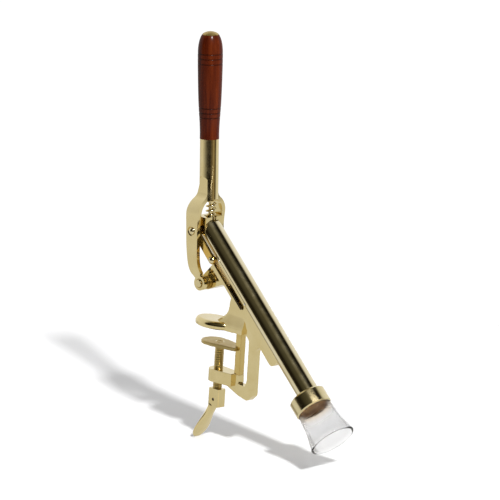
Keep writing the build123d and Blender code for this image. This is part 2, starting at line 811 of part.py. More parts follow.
def make_clamp_jaw():
    """Flat lower jaw, forked round the guide bar, countersunk for the riveted end of the screw."""
    top = -throat
    jaw = Pos(0, 0, top - lower_jaw_thick) * extrude(
        tongue(lower_jaw_tip_x, lower_jaw_half, lower_jaw_root_x, lower_jaw_root_half), amount=lower_jaw_thick)
    jaw = chamfer(jaw.edges().group_by(Axis.Z)[-1] + jaw.edges().group_by(Axis.Z)[0], lower_jaw_edge)
    jaw -= block(guide_x - side_gap, lower_jaw_root_x + overrun, guide_half + side_gap,
                 top - lower_jaw_thick - overrun, top + overrun)
    jaw -= rod(screw_neck_r + running_fit, top - lower_jaw_thick - overrun, top + overrun)
    sink = rivet_r + side_gap
    return jaw - cone(screw_neck_r + side_gap, sink, top - side_gap - rivet_height - side_gap, top + running_fit)


def make_clamp_screw():
    top = -throat
    shoulder = top - lower_jaw_thick - side_gap
    screw = rod(screw_r, screw_end, shoulder)
    screw += rod(screw_neck_r, shoulder, top - side_gap - rivet_height)
    screw += cone(screw_neck_r, rivet_r, top - side_gap - rivet_height, top - side_gap)
    screw += rod(tang_r, screw_end - tang_length, screw_end)
    hole_z = screw_end - handle_pin_drop
    return screw - cross_rod(handle_pin_r + seat_fit, -screw_r, screw_r, 0, hole_z)


def make_thumb_handle():
    """A socket on the screw that runs down into a flat spoon for the thumb."""
    foot = screw_end - socket_length
    socket = block(-socket_width / 2, socket_width / 2, socket_half, foot, screw_end)
    socket = fillet(socket.edges().filter_by(Axis.Z), socket_edge)
    start = Vector(paddle_start_x, 0, foot + socket_edge)
    way = Vector(paddle_tip_x, 0, paddle_tip_z) - start
    sections = []
    for along, half_share, thick_share in paddle_shares:
        station = Plane(origin=start + way * along, x_dir=(0, 1, 0), z_dir=way)
        sections.append(station * Ellipse(paddle_half * half_share, paddle_thick * thick_share))
    spoon = loft(sections)
    handle = socket + spoon
    handle -= rod(tang_r + seat_fit, screw_end - tang_length, screw_end + overrun)
    hole_z = screw_end - handle_pin_drop
    return handle - cross_rod(handle_pin_r + seat_fit, -socket_width, socket_width, 0, hole_z)


def make_handle_pin():
    hole_z = screw_end - handle_pin_drop
    half = socket_half - handle_pin_recess
    return cross_rod(handle_pin_r, -half, half, 0, hole_z)


makers = {
    "rail_housing": make_rail_housing,
    "clamp_frame": make_clamp_frame,
    "guide_bar": make_guide_bar,
    "barrel_tube": make_barrel_tube,
    "barrel_head": make_barrel_head,
    "wear_strips": make_wear_strips,
    "spindle_nut": make_spindle_nut,
    "collar": make_collar,
    "bell_gasket": make_bell_gasket,
    "bell_glass": make_bell_glass,
    "fulcrum_pin": make_fulcrum_pin,
    "fulcrum_nut": make_fulcrum_nut,
    "catch_spring": make_catch_spring,
    "catch_plunger": make_catch_plunger,
    "lever_yoke": make_lever_yoke,
    "lever_grip": make_lever_grip,
    "grip_cap": make_grip_cap,
    "grip_rod": make_grip_rod,
    "link_studs": make_link_studs,
    "fulcrum_bushes": make_fulcrum_bushes,
    "side_links": make_side_links,
    "crosshead": make_crosshead,
    "crosshead_pin": make_crosshead_pin,
    "thrust_washer": make_thrust_washer,
    "spindle_head": make_spindle_head,
    "spindle": make_spindle,
    "worm": make_worm,
    "clamp_jaw": make_clamp_jaw,
    "clamp_screw": make_clamp_screw,
    "thumb_handle": make_thumb_handle,
    "handle_pin": make_handle_pin,
}

os.makedirs("parts", exist_ok=True)
for name, make in makers.items():
    export_step(make(), os.path.join("parts", name + ".step"))
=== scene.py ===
# %% [markdown]
# # A bar corkscrew in polished brass
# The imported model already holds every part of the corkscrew, each in its real place, in metres. This
# lesson dresses it: a finish for every part, the fine details that are too small for the solids, and a
# quiet studio round it. The frame is loaded first, because everything that follows is placed on it.

# %% Load the frame
import math

import bmesh
import bpy
from mathutils import Matrix, Vector


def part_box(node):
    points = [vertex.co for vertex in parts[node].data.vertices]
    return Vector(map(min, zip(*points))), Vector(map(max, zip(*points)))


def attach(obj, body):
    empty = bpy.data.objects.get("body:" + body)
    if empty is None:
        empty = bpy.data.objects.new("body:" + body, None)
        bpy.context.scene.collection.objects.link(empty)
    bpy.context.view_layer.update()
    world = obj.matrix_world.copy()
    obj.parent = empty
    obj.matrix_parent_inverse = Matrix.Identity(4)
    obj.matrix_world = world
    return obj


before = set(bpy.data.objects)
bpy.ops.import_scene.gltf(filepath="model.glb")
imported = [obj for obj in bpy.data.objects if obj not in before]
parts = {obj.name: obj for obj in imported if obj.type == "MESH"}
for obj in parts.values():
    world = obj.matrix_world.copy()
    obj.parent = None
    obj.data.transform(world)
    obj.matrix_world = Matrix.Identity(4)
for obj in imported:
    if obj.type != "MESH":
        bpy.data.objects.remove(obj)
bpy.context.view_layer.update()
print("parts loaded:", len(parts))

# %% [markdown]
# Some directions of the real object are used again and again: the barrel leans forward at a fixed
# angle, the lever stands nearly upright, and both start from the pivot height of the linkage. Naming
# them once keeps grain, draw marks and rivets lined up with the parts that they belong to.

# %% Directions on the corkscrew
MM = 0.001
Y_AXIS, Z_AXIS = Vector((0, 1, 0)), Vector((0, 0, 1))
barrel_lean = math.radians(47.5)
lever_lean = math.radians(-3.8)
pivot = Vector((-38.8, 0.0, 118.0)) * MM
barrel_start = Vector((-32.25, 0.0, 125.15)) * MM
barrel_down = Vector((math.sin(barrel_lean), 0.0, -math.cos(barrel_lean)))
lever_up = Vector((math.sin(lever_lean), 0.0, math.cos(lever_lean)))
print("barrel runs along", [round(v, 3) for v in barrel_down])

# %% [markdown]
# A finish is a small graph of nodes. Writing each graph out by hand would bury what matters, so a few
# helpers come first. One starts a material with its gloss shader, and one adds a node with its settings.
# The others add a pattern, a ramp, a range, a mix or a bump. Every pattern reads Object coordinates, so
# it has a real size in metres and stays put when the part swings.

# %% Helpers for finishes
def start_finish(name):
    """A new material: itself, its node tree and its gloss shader."""
    finish = bpy.data.materials.new(name)
    finish.use_nodes = True
    tree = finish.node_tree
    return finish, tree, tree.nodes["Principled BSDF"]


def add_node(tree, kind, **settings):
    """One node of that kind, with its settings."""
    node = tree.nodes.new(kind)
    for key, value in settings.items():
        setattr(node, key, value)
    return node


def feed(tree, value, socket):
    """Gives a socket a node's output, or else a plain value."""
    if isinstance(value, bpy.types.NodeSocket):
        tree.links.new(value, socket)
    else:
        socket.default_value = value


def object_space(tree, turn=(0.0, 0.0, 0.0), stretch=(1.0, 1.0, 1.0)):
    """Object coordinates, turned and stretched, as the place that a pattern is read from."""
    place = add_node(tree, "ShaderNodeTexCoord")
    mapping = add_node(tree, "ShaderNodeMapping", vector_type="TEXTURE")
    mapping.inputs["Rotation"].default_value = turn
    mapping.inputs["Scale"].default_value = stretch
    tree.links.new(place.outputs["Object"], mapping.inputs["Vector"])
    return mapping.outputs["Vector"]


def distance_along(tree, direction):
    """How far each place on the part lies along a direction, in metres from the origin."""
    product = add_node(tree, "ShaderNodeVectorMath", operation="DOT_PRODUCT")
    product.inputs[1].default_value = direction
    tree.links.new(add_node(tree, "ShaderNodeTexCoord").outputs["Object"], product.inputs[0])
    return product.outputs["Value"]


def add_noise(tree, where, scale, detail=3.0, roughness=0.5, distortion=0.0):
    """A noise pattern with that many blotches to the metre."""
    noise = add_node(tree, "ShaderNodeTexNoise")
    noise.inputs["Scale"].default_value = scale
    noise.inputs["Detail"].default_value = detail
    noise.inputs["Roughness"].default_value = roughness
    noise.inputs["Distortion"].default_value = distortion
    tree.links.new(where, noise.inputs["Vector"])
    return noise.outputs["Fac"]


def add_ramp(tree, value, stops):
    """A colour ramp through (position, colour) stops."""
    ramp = add_node(tree, "ShaderNodeValToRGB")
    edges = ramp.color_ramp.elements
    while len(edges) < len(stops):
        edges.new(0.5)
    for edge, (position, colour) in zip(edges, stops):
        edge.position = position
        edge.color = (*colour, 1.0)
    tree.links.new(value, ramp.inputs["Fac"])
    return ramp.outputs["Color"]


def add_range(tree, value, low, high, new_low, new_high):
    """value, taken from low...high to new_low...new_high."""
    ranged = add_node(tree, "ShaderNodeMapRange")
    limits = {"From Min": low, "From Max": high, "To Min": new_low, "To Max": new_high}
    for name, number in limits.items():
        ranged.inputs[name].default_value = number
    tree.links.new(value, ranged.inputs["Value"])
    return ranged.outputs["Result"]


def mix_colours(tree, amount, under, over, blend="MIX"):
    """Puts one colour over another. Each of them, and the amount, is a node's output or a value."""
    mix = add_node(tree, "ShaderNodeMix", data_type="RGBA", blend_type=blend)
    for name, value in (("Factor", amount), ("A", under), ("B", over)):
        feed(tree, value, mix.inputs[name])
    return mix.outputs["Result"]


def add_bump(tree, height, shader, strength, distance, before=None):
    """Lets height push the surface in and out by up to distance, in metres."""
    bump = add_node(tree, "ShaderNodeBump")
    bump.inputs["Strength"].default_value = strength
    bump.inputs["Distance"].default_value = distance
    tree.links.new(height, bump.inputs["Height"])
    if before is not None:
        tree.links.new(before, bump.inputs["Normal"])
    tree.links.new(bump.outputs["Normal"], shader.inputs["Normal"])
    return bump.outputs["Normal"]


print("helpers for finishes are ready")

# %% [markdown]
# Polished brass is a metal, so its colour is the colour of its reflections. A buffed casting is never a
# perfect mirror: the wheel leaves broad soft waves and very fine scratches, and the tone drifts a little
# from paler to deeper yellow. The drawn tube is smoother, with faint marks along its length, and the jaw
# and the screw have lost their shine in use. One recipe with a few numbers makes all of these, which
# keeps the family of brasses alike.

# %% Brass finishes
UPRIGHT = (0.0, 0.0, 0.0)
LENGTHWISE, ROUND_ABOUT = (1.0, 1.0, 9.0), (9.0, 9.0, 1.0)
barrel_turn = (0.0, barrel_lean, 0.0)


def brass_finish(name, light, deep, gloss, wave, scratch_turn, scratch_stretch, scratch_depth):
    """Brass that drifts between two tones, with buffing waves and fine scratches."""
    finish, tree, shader = start_finish(name)
    shader.inputs["Metallic"].default_value = 1.0
    plain = object_space(tree)
    drift = add_noise(tree, plain, scale=28.0, detail=4.0, roughness=0.6, distortion=0.4)
    tone = add_ramp(tree, drift, [(0.32, deep), (0.68, light)])
    tree.links.new(tone, shader.inputs["Base Color"])
    smear = add_noise(tree, plain, scale=90.0, detail=5.0, roughness=0.62)
    tree.links.new(add_range(tree, smear, 0.3, 0.75, *gloss), shader.inputs["Roughness"])
    soft = add_noise(tree, plain, scale=45.0, detail=2.0)
    waves = add_bump(tree, soft, shader, strength=wave, distance=0.6 * MM)
    along = object_space(tree, scratch_turn, scratch_stretch)
    scratches = add_noise(tree, along, scale=2200.0, detail=4.0, roughness=0.7)
    add_bump(tree, scratches, shader, strength=scratch_depth, distance=0.03 * MM, before=waves)
    return finish


cast_brass = brass_finish(
    "Buffed cast brass", light=(0.77, 0.655, 0.365), deep=(0.71, 0.585, 0.295), gloss=(0.07, 0.15),
    wave=0.04, scratch_turn=(0.0, 0.0, 0.3), scratch_stretch=LENGTHWISE, scratch_depth=0.18,
)
gold_brass = brass_finish(
    "Deep gold brass", light=(0.74, 0.52, 0.15), deep=(0.66, 0.42, 0.10), gloss=(0.10, 0.20),
    wave=0.08, scratch_turn=barrel_turn, scratch_stretch=LENGTHWISE, scratch_depth=0.30,
)
bright_brass = brass_finish(
    "Bright turned brass", light=(0.78, 0.69, 0.44), deep=(0.71, 0.60, 0.33), gloss=(0.12, 0.20),
    wave=0.05, scratch_turn=barrel_turn, scratch_stretch=ROUND_ABOUT, scratch_depth=0.25,
)
tube_brass = brass_finish(
    "Drawn barrel brass", light=(0.84, 0.76, 0.53), deep=(0.78, 0.68, 0.43), gloss=(0.07, 0.16),
    wave=0.04, scratch_turn=barrel_turn, scratch_stretch=(1.0, 1.0, 14.0), scratch_depth=0.30,
)
post_brass = brass_finish(
    "Golden post brass", light=(0.70, 0.55, 0.23), deep=(0.62, 0.46, 0.17), gloss=(0.10, 0.20),
    wave=0.06, scratch_turn=UPRIGHT, scratch_stretch=LENGTHWISE, scratch_depth=0.30,
)
worn_brass = brass_finish(
    "Rubbed jaw brass", light=(0.62, 0.49, 0.22), deep=(0.50, 0.38, 0.15), gloss=(0.36, 0.50),
    wave=0.12, scratch_turn=UPRIGHT, scratch_stretch=(6.0, 1.0, 1.0), scratch_depth=0.40,
)
satin_brass = brass_finish(
    "Satin slide brass", light=(0.66, 0.50, 0.26), deep=(0.56, 0.42, 0.20), gloss=(0.42, 0.55),
    wave=0.03, scratch_turn=barrel_turn, scratch_stretch=LENGTHWISE, scratch_depth=0.15,
)
# Darker brass: aged brass on the screw and bushes, and on the grip's cap a painted dark reflection.
dark_brass = brass_finish(
    "Aged screw brass, painted cap reflection", light=(0.62, 0.47, 0.18), deep=(0.42, 0.30, 0.10), gloss=(0.34, 0.46),
    wave=0.04, scratch_turn=UPRIGHT, scratch_stretch=(6.0, 6.0, 1.0), scratch_depth=0.30,
)
brasses = (cast_brass, gold_brass, bright_brass, tube_brass, post_brass, worn_brass, satin_brass, dark_brass)
print("brass finishes:", len(brasses))

# %% [markdown]
# Rosewood is dense and dark, with long streaks that run up the handle and fine pores in the same
# direction. A noise that is stretched sixteen times along the lever gives the streaks, and a second,
# finer one the pores. The shade that lies in the turned grooves is painted: a ramp up the lever darkens
# the wood in a thin ring at each of them. The clear lacquer over it is a coat layer, which keeps its own
# gloss while the wood below stays dull.
#
# The bell is clear moulded glass. Near its neck the brown reflection of the ring that it sits in is
# painted into its colour, and there it is a little frosted, so its colour and its roughness are read
# from ramps down the bell. At the mouth the colour is painted a little lighter again, to lighten the rim.

# %% Rosewood and the small finishes
groove_heights = (142.8, 148.8, 154.9, 210.8, 217.3, 223.4)    # mm up the lever from the pivot
groove_shade_start, groove_shade_length, groove_reach = 0.110, 0.140, 0.0013    # metres up the lever
# Unshaded wood, and the tint of the painted shade that is multiplied in at each groove.
unshaded_wood, groove_shade_tint = (1.0, 1.0, 1.0), (0.34, 0.28, 0.26)
bell_neck, above_neck, below_neck = 0.2812, 0.004, 0.046    # metres down the barrel


def groove_shade_stops():
    """Ramp stops that leave the wood as it is, apart from a ring of painted shade at each groove."""
    stops = []
    for groove in groove_heights:
        middle, edge = (groove * MM - groove_shade_start) / groove_shade_length, groove_reach / groove_shade_length
        stops += [(middle - edge, unshaded_wood), (middle, groove_shade_tint), (middle + edge, unshaded_wood)]
    return stops


def rosewood_finish():
    """Red-brown wood with long streaks, painted shade in the grooves, and a thin clear lacquer."""
    finish, tree, shader = start_finish("Lacquered rosewood")
    grain = object_space(tree, turn=(0.0, lever_lean, 0.0), stretch=(1.0, 1.0, 16.0))
    streaks = add_noise(tree, grain, scale=170.0, detail=4.0, roughness=0.55, distortion=0.8)
    wood = add_ramp(tree, streaks, [
        (0.25, (0.036, 0.0035, 0.001)), (0.45, (0.064, 0.0075, 0.001)),
        (0.62, (0.094, 0.013, 0.0015)), (0.82, (0.130, 0.021, 0.003)),
    ])
    start = pivot.dot(lever_up) + groove_shade_start
    up = add_range(tree, distance_along(tree, lever_up), start, start + groove_shade_length, 0.0, 1.0)
    # Painted shade: each turned groove gets a thin dark ring multiplied into the wood.
    groove_shade = add_ramp(tree, up, groove_shade_stops())
    groove_shaded_wood = mix_colours(tree, 1.0, wood, groove_shade, "MULTIPLY")
    tree.links.new(groove_shaded_wood, shader.inputs["Base Color"])
    pores = add_noise(tree, grain, scale=1500.0, detail=3.0, roughness=0.5)
    tree.links.new(add_range(tree, pores, 0.3, 0.7, 0.38, 0.52), shader.inputs["Roughness"])
    add_bump(tree, pores, shader, strength=0.2, distance=0.05 * MM)
    shader.inputs["Specular IOR Level"].default_value = 0.03
    shader.inputs["Coat Weight"].default_value = 0.22
    shader.inputs["Coat Roughness"].default_value = 0.19
    return finish


def glass_finish():
    """Clear moulded glass, with the brown reflection of the ring under its neck painted into its colour."""
    finish, tree, shader = start_finish("Clear moulded glass")
    neck = barrel_start.dot(barrel_down) + bell_neck
    depth = distance_along(tree, barrel_down)
    down = add_range(tree, depth, neck - above_neck, neck + below_neck, 0.0, 1.0)
    # Painted reflection: the brown of the ring near the neck fades into clear grey, and the last stop paints
    # the mouth rim lighter.
    tone = add_ramp(tree, down, [
        (0.0, (0.72, 0.58, 0.42)), (0.12, (0.84, 0.76, 0.65)), (0.22, (0.86, 0.85, 0.83)),
        (0.45, (0.83, 0.83, 0.835)), (0.90, (0.78, 0.778, 0.775)), (0.99, (0.88, 0.88, 0.88)),
    ])
    tree.links.new(tone, shader.inputs["Base Color"])
    frosting = add_ramp(tree, down, [
        (0.0, (0.42, 0.42, 0.42)), (0.28, (0.30, 0.30, 0.30)), (0.42, (0.0, 0.0, 0.0)),
    ])
    tree.links.new(frosting, shader.inputs["Roughness"])
    shader.inputs["Transmission Weight"].default_value = 1.0
    shader.inputs["IOR"].default_value = 1.24
    ripples = add_noise(tree, object_space(tree), scale=55.0, detail=1.0)
    add_bump(tree, ripples, shader, strength=0.08, distance=0.6 * MM)
    return finish


def rubber_finish():
    """Soft brown rubber with a matt bloom."""
    finish, tree, shader = start_finish("Brown rubber")
    plain = object_space(tree)
    bloom = add_noise(tree, plain, scale=160.0, detail=4.0, roughness=0.6)
    tone = add_ramp(tree, bloom, [(0.3, (0.50, 0.33, 0.18)), (0.7, (0.66, 0.46, 0.28))])
    tree.links.new(tone, shader.inputs["Base Color"])
    tree.links.new(add_range(tree, bloom, 0.3, 0.7, 0.45, 0.7), shader.inputs["Roughness"])
    grains = add_noise(tree, plain, scale=1200.0, detail=2.0)
    add_bump(tree, grains, shader, strength=0.3, distance=0.06 * MM)
    return finish


def steel_finish(name, dark, light):
    """Drawn steel with faint marks along its length."""
    finish, tree, shader = start_finish(name)
    shader.inputs["Metallic"].default_value = 1.0
    drift = add_noise(tree, object_space(tree), scale=60.0, detail=4.0)
    tone = add_ramp(tree, drift, [(0.3, dark), (0.7, light)])
    tree.links.new(tone, shader.inputs["Base Color"])
    along = object_space(tree, turn=barrel_turn, stretch=(1.0, 1.0, 10.0))
    marks = add_noise(tree, along, scale=1800.0, detail=3.0)
    tree.links.new(add_range(tree, marks, 0.3, 0.7, 0.14, 0.3), shader.inputs["Roughness"])
    add_bump(tree, marks, shader, strength=0.3, distance=0.04 * MM)
    return finish


rosewood, clear_glass, brown_rubber = rosewood_finish(), glass_finish(), rubber_finish()
bright_steel = steel_finish("Bright drawn steel", dark=(0.56, 0.55, 0.53), light=(0.72, 0.72, 0.71))
rivet_steel = steel_finish("Bright rivet steel", dark=(0.84, 0.82, 0.76), light=(0.94, 0.92, 0.87))
dark_steel = steel_finish("Oiled dark steel", dark=(0.09, 0.08, 0.09), light=(0.17, 0.15, 0.17))
print("wood, glass, rubber and steel are ready")

# %% [markdown]
# Each part now takes its finish. The castings share the buffed brass, the turned rings and pins the
# bright one, the screw the aged one, and the hidden working parts steel. The cap of the grip takes the
# same darker brass, which on the cap is a painted dark reflection. A part's mesh is left exactly as it
# came, and only its material changes.

# %% Dress the parts
wardrobe = {
    cast_brass: ("rail_housing", "clamp_frame", "lever_yoke", "thumb_handle", "barrel_head"),
    post_brass: ("guide_bar",),
    worn_brass: ("clamp_jaw",),
    satin_brass: ("crosshead",),
    gold_brass: ("side_links",),
    bright_brass: (
        "collar", "crosshead_pin", "link_studs", "fulcrum_pin", "fulcrum_nut", "wear_strips",
        "spindle_nut", "catch_spring", "catch_plunger",
    ),
    tube_brass: ("barrel_tube",),
    # On the grip's cap this darker brass is a painted dark reflection.
    dark_brass: ("grip_cap", "clamp_screw", "fulcrum_bushes"),
    rosewood: ("lever_grip",),
    clear_glass: ("bell_glass",),
    brown_rubber: ("bell_gasket",),
    dark_steel: ("spindle", "handle_pin"),
    bright_steel: ("worm", "spindle_head", "thrust_washer", "grip_rod"),
}
for finish, names in wardrobe.items():
    for name in names:
        parts[name].data.materials.clear()
        parts[name].data.materials.append(finish)
bare = sorted(set(parts) - {name for names in wardrobe.values() for name in names})
print("parts without a finish:", bare)

# %% [markdown]
# Nothing that has been on a buffing wheel keeps a knife edge. The solids come with sharp corners, so
# each casting gets a chain of modifiers: its loose triangles are welded, flat areas become single faces
# again, and every corner sharper than a limit is rounded by a few tenths of a millimetre. Weighted
# normals keep the flats flat, so only the corner itself bends the light. The rounded corners catch the
# dark studio and draw thin lines along every edge, as they do on the real metal.

# %% Round the buffed edges
def round_edges(name, radius, sharper_than=35.0, segments=3):
    """Rounds the corners of a part by radius, in millimetres."""
    piece = parts[name]
    weld = piece.modifiers.new("Weld triangles", "WELD")
    weld.merge_threshold = 0.005 * MM
    flats = piece.modifiers.new("Join flats", "DECIMATE")
    flats.decimate_type = "DISSOLVE"
    flats.angle_limit = math.radians(0.4)
    corner = piece.modifiers.new("Buffed corners", "BEVEL")
    corner.limit_method = "ANGLE"
    corner.angle_limit = math.radians(sharper_than)
    corner.width = radius * MM
    corner.segments = segments
    corner.miter_outer = "MITER_ARC"
    shading = piece.modifiers.new("Flat flats", "WEIGHTED_NORMAL")
    shading.keep_sharp = False
    shading.weight = 100


buffed_radius = {
    "lever_yoke": 1.1, "clamp_frame": 0.9, "rail_housing": 0.6, "barrel_head": 0.9, "side_links": 0.4,
    "clamp_jaw": 0.4, "guide_bar": 0.3, "thumb_handle": 0.5,
}
for name, radius in buffed_radius.items():
    round_edges(name, radius)
    shown = parts[name].evaluated_get(bpy.context.evaluated_depsgraph_get())
    print(name, "faces after rounding:", len(shown.data.polygons))

# %% [markdown]
# Three details are too small for the solids, and each of them can be turned from a short profile. So
# one helper spins a run of points into a ring, one winds a ridge into a thread, and one closes such a
# shape into an object that wears a finish and rides on a body of the mechanism.

# %% Helpers for turned details
MERGE_GAP = 0.002 * MM


def add_object(name, data):
    """A new object in the scene, at the origin."""
    made = bpy.data.objects.new(name, data)
    bpy.context.scene.collection.objects.link(made)
    return made


def finish_mesh(shape, name, finish, body, smooth_angle=math.radians(35)):
    """Closes a bmesh into an object with its finish, which rides on that body."""
    bmesh.ops.remove_doubles(shape, verts=shape.verts, dist=MERGE_GAP)
    bmesh.ops.recalc_face_normals(shape, faces=shape.faces)
    mesh = bpy.data.meshes.new(name)
    shape.to_mesh(mesh)
    shape.free()
    mesh.materials.append(finish)
    piece = add_object(name, mesh)
    for face in mesh.polygons:
        face.use_smooth = True
    sharp = piece.modifiers.new("Crisp edges", "EDGE_SPLIT")
    sharp.split_angle = smooth_angle
    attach(piece, body)
    return piece


def join_points(shape, points):
    """Adds a run of points to a bmesh, with an edge between each and the next."""
    corners = [shape.verts.new(point) for point in points]
    return corners + [shape.edges.new(pair) for pair in zip(corners, corners[1:])]


def spin_profile(shape, points, centre, axis, steps):
    """Turns a run of points round an axis into a closed ring of faces."""
    bmesh.ops.spin(
        shape, geom=join_points(shape, points), cent=centre, axis=axis, dvec=(0, 0, 0),
        angle=2 * math.pi, steps=steps, use_merge=True
    )


def helical_thread(axis_x, low, high, root, crest, pitch, turn_steps=32):
    """A ridge of one pitch, wound round an upright axis and cut off square at low and high."""
    thread = bmesh.new()
    turns = math.ceil((high - low) / pitch) + 2
    crest_start, crest_end = 0.38 * pitch, 0.58 * pitch
    ridge = ((root, 0.0), (crest, crest_start), (crest, crest_end), (root, pitch))
    points = [Vector((axis_x + reach, 0.0, low - pitch + rise)) for reach, rise in ridge]
    bmesh.ops.spin(
        thread, geom=join_points(thread, points), cent=(axis_x, 0.0, 0.0), axis=Z_AXIS,
        dvec=(0.0, 0.0, pitch / turn_steps), angle=2 * math.pi * turns, steps=turn_steps * turns
    )
    bmesh.ops.remove_doubles(thread, verts=thread.verts, dist=MERGE_GAP)
    for height, outward in ((low, -1.0), (high, 1.0)):
        every = thread.verts[:] + thread.edges[:] + thread.faces[:]
        cut = bmesh.ops.bisect_plane(
            thread, geom=every, plane_co=(0.0, 0.0, height), plane_no=(0.0, 0.0, outward), clear_outer=True
        )
        rim = [edge for edge in cut["geom_cut"] if isinstance(edge, bmesh.types.BMEdge)]
        bmesh.ops.holes_fill(thread, edges=rim, sides=0)
    return thread


print("helpers for turned details are ready")

# %% [markdown]
# The clamp screw is a real screw, and its thread shows above and below the boss. A thread is one small
# ridge repeated along a helix, so a short zigzag of one pitch is spun round the screw while it climbs by
# one pitch a turn. Each turn ends where the next begins, and merging the doubles closes them into one
# surface. The pitch is 3 mm, because the jaw climbs 3 mm for each turn of the handle.

# %% Cut the screw's thread
thread_low, thread_high = -78.6 * MM, -23.6 * MM
thread_root, thread_crest, thread_pitch = 5.42 * MM, 5.82 * MM, 3.0 * MM
screw_low, screw_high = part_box("clamp_screw")
screw_axis = 0.5 * (screw_low.x + screw_high.x)
thread = helical_thread(screw_axis, thread_low, thread_high, thread_root, thread_crest, thread_pitch)
screw_thread = finish_mesh(thread, "screw_thread", dark_brass, "screw")
screw_width = round((screw_high.x - screw_low.x) / MM, 1)
print("thread faces:", len(screw_thread.data.polygons), "on a screw", screw_width, "mm wide")

# %% [markdown]
# The screw holds the lower jaw by its riveted end, which shows as a small bevelled ring on top of the
# jaw. It turns with the screw, so it rides on that body. The strip along the side of the rail is held by
# two domed rivets, one near each end, and the strip on the far side by two more. Every profile is a run
# of points in millimetres, out from the axis and up from the face, and starts a little below the face,
# so that no gap shows.

# %% Riveted ring and strip rivets
ring_profile = (
    (4.2, -0.30), (5.6, -0.30), (5.6, 0.08), (5.2, 0.28), (4.7, 0.24), (4.2, -0.05), (4.2, -0.30),
)
rivet_profile = ((1.4, -0.30), (1.4, 0.02), (1.3, 0.14), (1.0, 0.28), (0.6, 0.35), (0.0, 0.38))
rivet_places = (-57.2, 10.2)
ring_steps, rivet_steps = 48, 24

jaw_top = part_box("clamp_jaw")[1].z
ring = bmesh.new()
ring_points = [Vector((screw_axis + reach * MM, 0.0, jaw_top + rise * MM)) for reach, rise in ring_profile]
spin_profile(ring, ring_points, (screw_axis, 0.0, 0.0), Z_AXIS, ring_steps)
rivet_ring = finish_mesh(ring, "rivet_ring", bright_brass, "screw")

strip_low, strip_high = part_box("wear_strips")
across = barrel_down.cross(Y_AXIS)
strip_across = [vertex.co.dot(across) for vertex in parts["wear_strips"].data.vertices]
strip_middle = 0.5 * (min(strip_across) + max(strip_across))
rivets = bmesh.new()
for place in rivet_places:
    for side, face in ((-1.0, strip_low.y), (1.0, strip_high.y)):
        centre = barrel_down * place * MM + across * strip_middle + Y_AXIS * face
        points = [
            centre + barrel_down * reach * MM + Y_AXIS * side * rise * MM for reach, rise in rivet_profile
        ]
        spin_profile(rivets, points, centre, Y_AXIS, rivet_steps)
strip_rivets = finish_mesh(rivets, "strip_rivets", rivet_steel, "root", math.radians(60))
print("faces of the ring:", len(rivet_ring.data.polygons), "and rivets:", len(strip_rivets.data.polygons))

# %% [markdown]
# Polished metal shows the room that it stands in. In the photograph every round part is dark where it
# faces the camera and pale where it faces away, so the room behind the camera was dark and the sweep
# behind the corkscrew was white. The world is built like that: its brightness depends on how far a
# direction points towards the dark side, read from a ramp, and directions well below the horizon see
# the paper on the table. Six soft cards are laid over it. Two of them darken the room, straight above
# and low behind the clamp. The other four are the glow round the lamp and a pale card low on the right,
# which draw the thin streaks on the barrel and the stem. Matt surfaces see plain white that is brighter
# on the right, glass sees a plain pale grey, and the camera plain white, so the paper stays neutral.

# %% The studio dome
toward_camera = Vector((0.6809, -0.6935, 0.2354))
camera_right = Vector((0.7024, 0.7094, 0.0580))
camera_up = toward_camera.cross(camera_right)
PLAIN_WHITE = (1.0, 1.0, 1.0, 1.0)


def studio_heading(right, up, toward):
    """A direction in the studio, as it is seen from the camera's side."""
    return (camera_right * right + camera_up * up + toward_camera * toward).normalized()


world = bpy.data.worlds.new("Dark and pale studio")
bpy.context.scene.world = world
world.use_nodes = True
sky = world.node_tree
sky.nodes.clear()
heading = add_node(sky, "ShaderNodeTexCoord").outputs["Generated"]


def facing(direction):
    """How far each place on the dome lies in that direction, from -1 to 1."""
    dot = add_node(sky, "ShaderNodeVectorMath", operation="DOT_PRODUCT")
    dot.inputs[1].default_value = direction
    sky.links.new(heading, dot.inputs[0])
    return dot.outputs["Value"]


def facing_ramp(direction, stops):
    """Colours that run from behind a direction, at 0, round to the direction itself, at 1."""
    return add_ramp(sky, add_range(sky, facing(direction), -1.0, 1.0, 0.0, 1.0), stops)


def soft_card(under, direction, inner, outer, colour, blend):
    """Puts a round card on the dome: full inside one angle and nothing outside the other."""
    edges = math.cos(math.radians(outer)), math.cos(math.radians(inner))
    glow = add_range(sky, facing(direction), *edges, 0.0, 1.0)
    return mix_colours(sky, glow, under, (*colour, 1.0), blend)


room = facing_ramp(studio_heading(0.08, -0.06, 1.0), [
    (0.00, (0.95, 0.95, 0.95)), (0.28, (0.86, 0.855, 0.84)), (0.46, (0.74, 0.73, 0.70)),
    (0.50, (0.58, 0.56, 0.51)), (0.53, (0.22, 0.20, 0.15)), (0.56, (0.040, 0.033, 0.021)),
    (0.62, (0.014, 0.011, 0.006)), (1.00, (0.012, 0.010, 0.006)),
])
paper_glow = facing_ramp(toward_camera, [
    (0.0, (0.78, 0.77, 0.74)), (0.45, (0.75, 0.74, 0.70)), (1.0, (0.82, 0.79, 0.70)),
])
paper_starts, all_paper = -0.16, -0.22    # how far below level, from 0 to -1
below_horizon = add_range(sky, facing(Z_AXIS), paper_starts, all_paper, 0.0, 1.0)
dome = mix_colours(sky, below_horizon, room, paper_glow)

